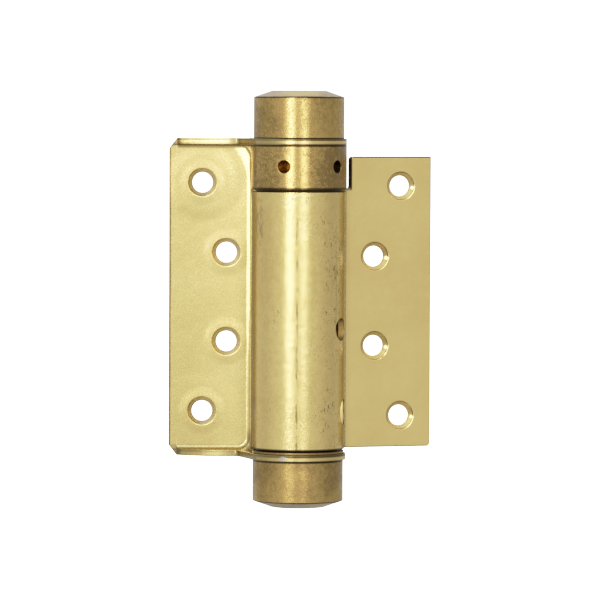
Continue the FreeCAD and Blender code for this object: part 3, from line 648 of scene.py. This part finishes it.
def turned_brass(name, seed, shade, rough, bands, patches=(), fine=1.0):
    """Turned and plated brass, dulled: soft brown mottling over faint lathe lines.

    Shade is how much of it has turned brown, and fine how strong its finest mottling is. Bands are
    heights with painted shade lines at joints and edges, and their reach. Patches are brown places
    given across, up, wide, high and how much browner they are.
    """
    finish = Finish(name)
    blotches = finish.noise(140, detail=6, roughness=0.7, shift=1.3 + seed)
    flecks = finish.noise(2400, detail=5, roughness=0.85, shift=4.1 + seed)
    lathe = finish.noise(260, detail=3, stretch=(0.04, 0.04, 14), shift=seed)
    mottle = finish.noise(1000, detail=4, roughness=0.8, shift=seed + 6.0)
    spread = 0.945 + (blotches - 0.5) * 0.6 + (mottle - 0.5) * 0.7 * fine + (flecks - 0.5) * 0.9 * fine
    for across, up, wide, high, strength in patches:
        spread = spread + patch(finish, across, up, wide, high) * strength
    tarnish = finish.ramp(spread, 0.86 - shade, 1.26 - shade)
    broken = finish.ramp(blotches + flecks, 0.6, 1.2, 0.75, 1.0)
    base = painted(finish, TURNED, [
        (tarnish * 0.9, TARNISH),
        # painted shade lines at the bands' heights
        *[(level_band(finish, level, reach) * broken, DARK_SHADE) for level, reach in bands],
        *cone_shades(finish),
        *tommy_shades(finish),
    ])
    return finish.apply({
        "Base Color": base,
        "Metallic": 1.0,
        "Roughness": rough + tarnish * 0.14 + flecks * 0.08,
        "Normal": finish.relief(lathe * 0.4 + flecks + mottle * 0.4, 0.014 * MM),
    })


def plain_metal(name, base, rough):
    """Drawn or turned metal without plating, faintly marked."""
    finish = Finish(name)
    marks = finish.noise(700, detail=4, shift=2.0)
    darker = (*[0.6 * part for part in base[:3]], 1.0)
    shade = finish.blended(finish.ramp(marks, 0.3, 0.7), base, darker)
    return finish.apply({
        "Base Color": shade,
        "Metallic": 1.0,
        "Roughness": rough + marks * 0.12,
        "Normal": finish.relief(marks, 0.008 * MM),
    })


def round_arc(centre, radius, start, stop, step):
    """Points of an arc from start to stop, no more than a step apart. All three are in degrees."""
    count = max(2, math.ceil(abs(stop - start) / step))
    points = []
    for index in range(count + 1):
        angle = math.radians(start + (stop - start) * index / count)
        points.append((centre[0] + radius * math.cos(angle), centre[1] + radius * math.sin(angle)))
    return points


def eased(corners, radius):
    """A closed outline with each corner rounded over."""
    points = []
    count = len(corners)
    for index, corner in enumerate(corners):
        here = Vector(corner)
        before = Vector(corners[index - 1]) - here
        after = Vector(corners[(index + 1) % count]) - here
        reach = min(radius, 0.45 * before.length, 0.45 * after.length)
        first = here + before.normalized() * reach
        last = here + after.normalized() * reach
        for step in range(EASE_STEPS + 1):
            share = step / EASE_STEPS
            point = first * (1 - share) ** 2 + here * 2 * share * (1 - share) + last * share ** 2
            points.append((point.x, point.y))
    return points


def level_direction(degrees):
    """A level unit vector, turned from +X by an angle."""
    angle = math.radians(degrees)
    return (math.cos(angle), math.sin(angle), 0)


def new_piece(name, shell, material):
    """Puts a built shell into the scene as a piece."""
    mesh = bpy.data.meshes.new(name)
    for face in shell.faces:
        face.smooth = True
    shell.to_mesh(mesh)
    shell.free()
    mesh.materials.append(material)
    piece = bpy.data.objects.new(name, mesh)
    bpy.context.scene.collection.objects.link(piece)
    return piece


def with_modifier(piece, kind, settings):
    """Applies one modifier to a piece for good."""
    modifier = piece.modifiers.new(kind.lower(), kind)
    for key, value in settings.items():
        setattr(modifier, key, value)
    view = bpy.context.evaluated_depsgraph_get()
    finished = bpy.data.meshes.new_from_object(piece.evaluated_get(view))
    material = piece.data.materials[0]
    piece.modifiers.clear()
    piece.data = finished
    finished.materials.clear()
    finished.materials.append(material)


def even_normals(piece):
    """Lets wide flat faces keep their normals right up to the rounded edges."""
    with_modifier(piece, "WEIGHTED_NORMAL", {"mode": "FACE_AREA_WITH_ANGLE", "keep_sharp": False})


def cut_away(piece, cutters):
    """Cuts the shapes of other pieces out of one, and removes them."""
    for cutter in cutters:
        with_modifier(piece, "BOOLEAN", {"operation": "DIFFERENCE", "solver": "EXACT", "object": cutter})
        bpy.data.objects.remove(cutter)


def round_over(piece, width, least=28.0):
    """Rounds over every edge that is sharper than an angle in degrees."""
    shell = bmesh.new()
    shell.from_mesh(piece.data)
    bmesh.ops.remove_doubles(shell, verts=shell.verts, dist=WELD)
    sharp = [edge for edge in shell.edges
             if len(edge.link_faces) == 2 and edge.calc_face_angle(0.0) > math.radians(least)]
    bmesh.ops.bevel(
        shell, geom=sharp, offset=width, offset_type="OFFSET", segments=3, profile=0.5,
        affect="EDGES", clamp_overlap=False, miter_outer="ARC")
    for face in shell.faces:
        face.smooth = True
    shell.to_mesh(piece.data)
    shell.free()


def turned(name, section, material, segments=180):
    """A piece turned round the pin from its closed half section of (radius, height)."""
    shell = bmesh.new()
    rings = []
    for index in range(segments):
        angle = 2 * math.pi * index / segments
        rings.append([
            shell.verts.new((
                PIN_X + radius * math.cos(angle), PIN_Y + radius * math.sin(angle), height))
            for radius, height in section])
    for index in range(segments):
        ring = rings[index]
        following = rings[(index + 1) % segments]
        for place in range(len(section)):
            after = (place + 1) % len(section)
            shell.faces.new((ring[place], following[place], following[after], ring[after]))
    bmesh.ops.remove_doubles(shell, verts=shell.verts, dist=WELD)
    bmesh.ops.recalc_face_normals(shell, faces=shell.faces)
    return new_piece(name, shell, material)


def skinned(name, rings, material):
    """A solid through rings of places, each with as many as the next, closed at both ends."""
    shell = bmesh.new()
    rings = [[shell.verts.new(place) for place in ring] for ring in rings]
    shell.faces.new(rings[0])
    shell.faces.new(rings[-1])
    for ring, following in zip(rings, rings[1:]):
        for index in range(len(ring)):
            after = (index + 1) % len(ring)
            shell.faces.new((ring[index], ring[after], following[after], following[index]))
    bmesh.ops.recalc_face_normals(shell, faces=shell.faces)
    return new_piece(name, shell, material)


def round_bar(name, place, direction, profile, material, segments=48):
    """A cutter or a pin, turned round its own line: profile gives (radius, distance along the line)."""
    turn = Vector(direction).to_track_quat("Z", "Y").to_matrix()
    rings = []
    for radius, along in profile:
        ring = []
        for index in range(segments):
            angle = 2 * math.pi * (index + 0.5) / segments
            point = turn @ Vector((radius * math.cos(angle), radius * math.sin(angle), along))
            ring.append(Vector(place) + point)
        rings.append(ring)
    return skinned(name, rings, material)


def extruded(name, outline, foot, top, material):
    """A solid from a closed outline seen from above."""
    return skinned(name, [[(*place, level) for place in outline] for level in (foot, top)], material)


def stands_for(piece, node, body):
    """Puts a piece in a solid's place: on its body, with the solid hidden."""
    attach(piece, body)
    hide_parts(node)


def swung(across, off):
    """A place on the swing leaf, given along it and off its middle, in the row frame."""
    return (PIN_X + across * ALONG[0] - off * ALONG[1],
            PIN_Y + across * ALONG[1] + off * ALONG[0])


def rolled_outline():
    """The swing leaf seen from above: flat to its fold, and then rolled round into the barrel."""
    half = SHEET / 2
    fold = 0.8 * MM
    seam_gap = 0.1 * MM
    fold_y = half + fold
    fold_x = math.sqrt((BARREL + fold) ** 2 - fold_y ** 2)
    fold_angle = math.degrees(math.atan2(fold_y, fold_x))
    seam = 360 - math.degrees(math.asin((half + seam_gap) / BARREL))
    outline = [(SWING_REACH, -half), (SWING_REACH, half)]
    outline += round_arc((fold_x, fold_y), fold, 270, 180 + fold_angle, 8)
    outline += round_arc((0, 0), BARREL, fold_angle, seam, 1.5)[1:]
    outline += round_arc((0, 0), BORE, seam, fold_angle, 1.5)
    outline += round_arc((fold_x, fold_y), fold + SHEET, 180 + fold_angle, 270, 6)[1:]
    return [swung(across, off) for across, off in outline]


def notch_outline():
    """What is cut from the swing leaf round the collar, as places (across, up)."""
    left = -BARREL - 4 * MM
    high = SWING_TOP + 4 * MM
    outline = [
        (left, BARREL_TOP), (BARREL - 0.05 * MM, BARREL_TOP), (COLLAR + 0.12 * MM, NOTCH_FLOOR)]
    outline += round_arc(
        (NOTCH_REACH - LEAF_CORNER, NOTCH_FLOOR + LEAF_CORNER), LEAF_CORNER, 270, 360, 12)
    outline += round_arc(
        (NOTCH_REACH + LEAF_CORNER, SWING_TOP - LEAF_CORNER), LEAF_CORNER, 180, 90, 12)
    return outline + [(NOTCH_REACH + LEAF_CORNER, high), (left, high)]


def corner_outline():
    """What is cut from the swing leaf's lower free corner to round it, as places (across, up)."""
    across = SWING_REACH - LEAF_CORNER
    up = BARREL_FOOT + LEAF_CORNER
    outline = round_arc((across, up), LEAF_CORNER, 270, 360, 12)
    past = SWING_REACH + MM
    low = BARREL_FOOT - MM
    return outline + [(past, up), (past, low), (across, low)]


def cutter_through(name, outline, material):
    """A cutter that goes right through the swing leaf and the barrel, from places (across, up)."""
    ends = [
        [(*swung(across, off), up) for across, up in outline] for off in (-2 * BARREL, 2 * BARREL)]
    return skinned(name, ends, material)


def lean_notch_edge(leaf):
    """Moves the notch's edge towards the pin on the back of the swing leaf, which was sheared askew."""
    lean = 0.3 * MM
    for vert in leaf.data.vertices:
        side = vert.co.x - PIN_X
        back = vert.co.y - PIN_Y
        across = side * ALONG[0] + back * ALONG[1]
        off = back * ALONG[0] - side * ALONG[1]
        on_edge = COLLAR + 0.2 * MM < across < NOTCH_REACH + MM
        if on_edge and off > 0 and vert.co.z > NOTCH_FLOOR - 0.01 * MM:
            vert.co.x -= lean * ALONG[0]
            vert.co.y -= lean * ALONG[1]


def make_swing_leaf(material):
    """Leaf and barrel in one sheet: folded at the root, rolled round, notched and drilled."""
    leaf = extruded("rolled_swing_leaf", rolled_outline(), BARREL_FOOT, SWING_TOP, material)
    cutters = [
        cutter_through("notch_cutter", notch_outline(), material),
        cutter_through("corner_cutter", corner_outline(), material),
    ]
    out_of_front = (ALONG[1], -ALONG[0], 0)
    for across, level in SWING_HOLES:
        for side in (1, -1):
            mouth = (*swung(across, -SHEET / 2), side * level - SWING_DROP)
            cutters.append(round_bar("screw_hole_cutter", mouth, out_of_front, screw_profile(), material))
    pin_hole = PLUG_PIN_RADIUS + 0.03 * MM
    for turn, level, radius in (
            (WINDOW_TURN, WINDOW_LEVEL, WINDOW_RADIUS), (PLUG_PIN_TURN, PLUG_PIN_LEVEL, pin_hole)):
        cutters.append(round_bar(
            "barrel_hole_cutter", (PIN_X, PIN_Y, level), level_direction(turn),
            [(radius, 5 * MM), (radius, BARREL + 3 * MM)], material))
    cut_away(leaf, cutters)
    lean_notch_edge(leaf)
    round_over(leaf, EDGE_ROUND)
    even_normals(leaf)
    stands_for(leaf, "swing_leaf", "leaf")


def screw_profile():
    """Countersunk hole seen from its mouth: radius, and distance out of the front face."""
    flare = SINK_RADIUS - HOLE_RADIUS
    return [(HOLE_RADIUS, -3 * MM), (HOLE_RADIUS, -flare), (SINK_RADIUS, 0), (SINK_RADIUS + MM, MM)]


def make_frame_leaf(material):
    """The pressed tray: the solid's own skin, its edges rounded over."""
    shell = bmesh.new()
    shell.from_mesh(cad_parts["frame_leaf"].data)
    bmesh.ops.remove_doubles(shell, verts=shell.verts, dist=WELD)
    bmesh.ops.dissolve_limit(
        shell, angle_limit=math.radians(0.4), use_dissolve_boundaries=False,
        verts=shell.verts, edges=shell.edges)
    tray = new_piece("pressed_frame_leaf", shell, material)
    round_over(tray, EDGE_ROUND)
    even_normals(tray)
    stands_for(tray, "frame_leaf", "frame")


def make_caps(materials):
    """Two turned caps, each with a shallow cone."""
    for name, side, material in (("top_cap", 1, materials[0]), ("bottom_cap", -1, materials[1])):
        section = [
            (0, CONE_TOP), (CONE_FLAT, CONE_TOP), (CAP, CONE_FOOT), (CAP, HALF_HEIGHT),
            (SPINDLE, HALF_HEIGHT), (SPINDLE, SPINDLE_TOP), (0, SPINDLE_TOP)]
        between = slice(EASE_STEPS + 1, -EASE_STEPS - 1)
        rounded = [section[0]] + eased(section, 0.22 * MM)[between] + [section[-1]]
        cap = turned(f"turned_{name}", [(radius, height * side) for radius, height in rounded], material)
        even_normals(cap)
        stands_for(cap, name, "frame")


def make_collar(material):
    """Turned collar with a hub, and five blind tommy holes."""
    hub = BORE - 0.05 * MM
    neck = BARREL - 0.3 * MM
    neck_foot = BARREL_TOP + 0.05 * MM
    top = COLLAR_TOP + 0.08 * MM
    section = eased([
        (SPINDLE_BORE, HUB_FOOT), (hub, HUB_FOOT), (hub, neck_foot), (neck, neck_foot),
        (neck, COLLAR_FOOT), (COLLAR, COLLAR_FOOT), (COLLAR, top), (SPINDLE_BORE, top)], 0.12 * MM)
    collar = turned("drilled_tension_collar", section, material, segments=240)
    leg = level_direction(SPRING_LEG)
    seat = WIRE + 0.15 * MM
    cutters = [round_bar(
        "spring_seat_cutter", (PIN_X + COIL * leg[0], PIN_Y + COIL * leg[1], HUB_FOOT),
        (0, 0, 1), [(seat, -MM), (seat, 4.5 * MM)], material)]
    for index in range(TOMMY_COUNT):
        direction = level_direction(FIRST_TOMMY + 360 / TOMMY_COUNT * index)
        cutters.append(round_bar(
            "tommy_cutter", (PIN_X, PIN_Y, TOMMY_LEVEL), direction,
            [(0.05 * MM, 4.6 * MM), (TOMMY_RADIUS, 5.5 * MM), (TOMMY_RADIUS, COLLAR + MM)], material))
    cut_away(collar, cutters)
    round_over(collar, 0.12 * MM, least=40.0)
    even_normals(collar)
    stands_for(collar, "tension_collar", "collar")


def make_washer(material):
    """Thin washer under the barrel."""
    section = eased([
        (SPINDLE_BORE, -EAR_FACE), (WASHER, -EAR_FACE), (WASHER, WASHER_TOP),
        (SPINDLE_BORE, WASHER_TOP)], 0.15 * MM)
    washer = turned("thin_thrust_washer", section, material)
    even_normals(washer)
    stands_for(washer, "thrust_washer", "frame")


def make_plug_pin(material):
    """Flat-ended pin that locks the plug, its end cut level with the barrel's right side."""
    radius = PLUG_PIN_RADIUS
    end = BARREL + 0.1 * MM
    profile = [
        (radius - 0.2 * MM, 5.02 * MM), (radius, 5.2 * MM), (radius, end - 0.2 * MM),
        (radius - 0.06 * MM, end - 0.06 * MM), (radius - 0.2 * MM, end)]
    pin = round_bar(
        "flat_plug_pin", (PIN_X, PIN_Y, PLUG_PIN_LEVEL), level_direction(PLUG_PIN_TURN), profile,
        material, segments=72)
    near = PIN_X + PLUG_PIN_END
    far = near + radius
    front = PIN_Y - 2 * radius
    back = PIN_Y + 2 * radius
    cut_away(pin, [extruded(
        "pin_end_cutter", [(near, front), (far, front), (far, back), (near, back)],
        PLUG_PIN_LEVEL - 2 * radius, PLUG_PIN_LEVEL + 2 * radius, material)])
    even_normals(pin)
    stands_for(pin, "plug_pin", "leaf")


def spring_path(foot, head):
    """The wire's middle line as (reach, angle, height): a straight end, the turns and a straight end.

    The turns between the ends are a little wider, nearly as wide as the barrel's bore.
    """
    leg = 4.3 * MM + WIRE
    gap = 0.1 * MM
    start = math.radians(SPRING_LEG)
    turns = math.floor((head - foot) / (2 * WIRE + gap))
    path = [(COIL, start, foot - leg + leg * step / LEG_STEPS) for step in range(LEG_STEPS)]
    count = turns * TURN_STEPS
    for step in range(count + 1):
        share = step / count
        swell = 0.32 * MM * min(1.0, share * turns, (1 - share) * turns)
        path.append((COIL + swell, start + 2 * math.pi * turns * share, foot + (head - foot) * share))
    path += [(COIL, start, head + leg * step / LEG_STEPS) for step in range(1, LEG_STEPS + 1)]
    return path


def make_spring(material):
    """Close-wound torsion spring with a straight end down in the plug and one up in the hub."""
    foot = PLUG_TOP + 0.1 * MM + WIRE
    head = HUB_FOOT - 0.1 * MM - WIRE
    places = [
        Vector((PIN_X + reach * math.cos(angle), PIN_Y + reach * math.sin(angle), level))
        for reach, angle, level in spring_path(foot, head)]
    rings = []
    sides = 16
    for index, place in enumerate(places):
        heading = (places[min(index + 1, len(places) - 1)] - places[max(index - 1, 0)]).normalized()
        outward = Vector((place.x - PIN_X, place.y - PIN_Y, 0)).normalized()
        outward = (outward - heading * outward.dot(heading)).normalized()
        upward = heading.cross(outward)
        in_turns = LEG_STEPS <= index < len(places) - LEG_STEPS
        thick = WIRE if in_turns else WIRE - 0.12 * MM
        rings.append([
            place + (outward * math.cos(2 * math.pi * side / sides)
                     + upward * math.sin(2 * math.pi * side / sides)) * thick
            for side in range(sides)])
    spring = skinned("wound_spring", rings, material)
    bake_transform(spring)
    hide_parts("torsion_spring")


# Bands: heights of painted shade lines at joints and edges, with their reach.
COLLAR_BANDS = [
    (COLLAR_FOOT, 0.75 * MM),
    (COLLAR_FOOT - 0.45 * MM, 0.7 * MM),
    (COLLAR_TOP, 0.4 * MM),
]
COLLAR_PATCHES = [
    (8.4 * MM, 30.5 * MM, 4.6 * MM, 10 * MM, 0.17),
    (-9.5 * MM, 27.5 * MM, 2.5 * MM, 1.8 * MM, 0.08),
    # painted shade at the collar's left edge
    (-11.0 * MM, 30.5 * MM, 1.1 * MM, 12 * MM, 0.5),
    # painted highlight: less brown in the middle, where the highlight falls
    (-0.4 * MM, 31.5 * MM, 3.4 * MM, 9 * MM, -0.16),
]
TOP_CAP_BANDS = [
    (HALF_HEIGHT, 0.35 * MM),
    (CONE_FOOT - 0.08 * MM, 0.28 * MM),
]
TOP_CAP_PATCHES = [
    (-10.6 * MM, 42 * MM, 1.6 * MM, 9 * MM, 0.10),
    (-7.5 * MM, 41 * MM, 3.2 * MM, 7 * MM, 0.05),
]
BOTTOM_CAP_BANDS = [
    (-HALF_HEIGHT - 0.12 * MM, 0.45 * MM),
    (-CONE_FOOT, 0.22 * MM),
]
BOTTOM_CAP_PATCHES = [
    (-8.4 * MM, -39.4 * MM, 3.6 * MM, 4.2 * MM, 0.14),
    (8.4 * MM, -40.5 * MM, 2.6 * MM, 6 * MM, 0.10),
    (-0.4 * MM, -38.6 * MM, 4.5 * MM, 1.5 * MM, 0.08),
]
WASHER_BANDS = [
    (WASHER_TOP, 0.2 * MM),
    (-EAR_FACE, 0.12 * MM),
]


def dress():
    """Gives every piece its shape and finish."""
    make_frame_leaf(leaf_plate())
    make_swing_leaf(rolled_plate())
    make_collar(turned_brass(
        "collar_brass", 5.0, 0.10, 0.145, COLLAR_BANDS, COLLAR_PATCHES, fine=1.5))
    make_caps((
        turned_brass("top_cap_brass", 0.0, 0.06, 0.165, TOP_CAP_BANDS, TOP_CAP_PATCHES),
        turned_brass(
            "bottom_cap_brass", 9.0, 0.09, 0.19, BOTTOM_CAP_BANDS, BOTTOM_CAP_PATCHES, fine=0.7)))
    make_washer(turned_brass("washer_brass", 3.0, 0.28, 0.2, WASHER_BANDS))
    make_plug_pin(pin_plate())
    make_spring(plain_metal("spring_bronze", BRONZE, 0.28))
    steel = plain_metal("plain_steel", STEEL, 0.3)
    for node in ("spindle", "barrel_plug"):
        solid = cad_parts[node]
        solid.data.materials.clear()
        solid.data.materials.append(steel)


def strip_light(name, azimuth, distance, width, height, level, radiance):
    """A soft strip of light facing the hinge, turned round from the camera by an angle in degrees."""
    lamp = bpy.data.lights.new(name, "AREA")
    lamp.shape = "RECTANGLE"
    lamp.size = width
    lamp.size_y = height
    lamp.energy = radiance * math.pi * width * height
    placed = bpy.data.objects.new(name, lamp)
    angle = math.radians(azimuth)
    spot = Vector((PIN_X + distance * math.sin(angle), PIN_Y - distance * math.cos(angle), level))
    towards = Vector((PIN_X, PIN_Y, 0)) - spot
    placed.location = spot
    placed.rotation_euler = towards.to_track_quat("-Z", "Y").to_euler()
    placed.visible_camera = False
    bpy.context.scene.collection.objects.link(placed)


def studio():
    """Pale floor, white surroundings that are dimmer as a reflection, two strip lights and one overhead."""
    floor_mesh = bpy.data.meshes.new("floor")
    reach = 6.0
    low = CAD_BOX[0][2] - 60 * MM
    floor_mesh.from_pydata(
        [(-reach, -reach, low), (reach, -reach, low), (reach, reach, low), (-reach, reach, low)],
        [], [(0, 1, 2, 3)])
    floor = bpy.data.objects.new("floor", floor_mesh)
    bpy.context.scene.collection.objects.link(floor)
    paint = Finish("pale_floor")
    paint.apply({
        "Base Color": (0.9, 0.9, 0.9, 1), "Roughness": 0.9,
        "Emission Color": (1, 1, 1, 1), "Emission Strength": 2.6})
    floor_mesh.materials.append(paint.material)
    floor.visible_glossy = False
    floor.visible_diffuse = False

    world = bpy.data.worlds.new("studio")
    world.use_nodes = True
    tree = world.node_tree
    tree.nodes.clear()

    def wired(kind, values, settings=None):
        made = tree.nodes.new(kind)
        for key, value in (settings or {}).items():
            setattr(made, key, value)
        for key, value in values.items():
            if isinstance(value, bpy.types.NodeSocket):
                tree.links.new(value, made.inputs[key])
            else:
                made.inputs[key].default_value = value
        return made

    def climb(value, low_end, high_end, start, stop):
        return wired("ShaderNodeMapRange", {
            "Value": value, "From Min": low_end, "From Max": high_end, "To Min": start, "To Max": stop},
            {"interpolation_type": "SMOOTHSTEP"}).outputs[0]

    place = wired("ShaderNodeTexCoord", {})
    parts = wired("ShaderNodeSeparateXYZ", {0: place.outputs["Generated"]})
    shares = [
        climb(parts.outputs["Y"], -0.85, 0.0, 0.76, 0.54),
        climb(parts.outputs["Y"], 0.2, 0.8, 0.0, 0.10),
        climb(parts.outputs["X"], -0.6, 0.6, 0.10, 0.0),
        climb(parts.outputs["Z"], -0.05, 0.7, 0.0, 0.40),
        climb(parts.outputs["Z"], -0.6, 0.0, -0.12, 0.0),
    ]
    total = shares[0]
    for share in shares[1:]:
        total = wired("ShaderNodeMath", {0: total, 1: share}, {"operation": "ADD"}).outputs[0]
    dim = wired("ShaderNodeBackground", {"Color": (1, 1, 1, 1), "Strength": total})
    white = wired("ShaderNodeBackground", {"Color": (1, 1, 1, 1), "Strength": 3.0})
    rays = wired("ShaderNodeLightPath", {})
    chosen = wired("ShaderNodeMixShader", {
        0: rays.outputs["Is Camera Ray"], 1: dim.outputs[0], 2: white.outputs[0]})
    wired("ShaderNodeOutputWorld", {0: chosen.outputs[0]})
    bpy.context.scene.world = world

    strip_light("left_strip", -20.8, 1.1, width=0.30, height=0.95, level=0.42, radiance=7.2)
    strip_light("right_strip", 12.5, 1.1, width=0.26, height=0.95, level=0.42, radiance=4.6)
    strip_light("overhead", -8, 0.9, width=0.5, height=0.25, level=1.15, radiance=2.5)


def develop():
    """Tone curve of the picture: straight up to the mid tones, with a soft shoulder to white."""
    view = bpy.context.scene.view_settings
    view.view_transform = "Standard"
    view.look = "None"
    view.use_curve_mapping = True
    mapping = view.curve_mapping
    mapping.clip_max_x = 3.0
    mapping.use_clip = True
    curve = mapping.curves[3]
    curve.points[1].location = (2.6, 1.0)
    shoulder = ((0.3, 0.3), (0.6, 0.585), (0.8, 0.70), (1.0, 0.795), (1.2, 0.87), (1.5, 0.945), (2.0, 0.985))
    for given, shown in shoulder:
        curve.points.new(given, shown)
    mapping.update()


def camera():
    """The photograph's view: level with a point above the hinge, looking slightly down."""
    distance = 1120 * MM
    picture_width = 600
    pixel = 0.2338 * MM
    middle = PIN_X + 0.38 * MM
    lens = bpy.data.cameras.new("camera")
    lens.sensor_width = 36.0
    lens.lens = lens.sensor_width * distance / (picture_width * pixel)
    eye = bpy.data.objects.new("camera", lens)
    bpy.context.scene.collection.objects.link(eye)
    spot = Vector((middle, PIN_Y - distance, 44.9 * MM))
    aim = Vector((middle, PIN_Y, -0.26 * MM))
    turn = (aim - spot).to_track_quat("-Z", "Y")
    roll = Matrix.Rotation(math.radians(0.245), 4, "Z")
    eye.matrix_world = Matrix.Translation(spot) @ turn.to_matrix().to_4x4() @ roll
    bpy.context.scene.camera = eye


camera()
dress()
studio()
develop()
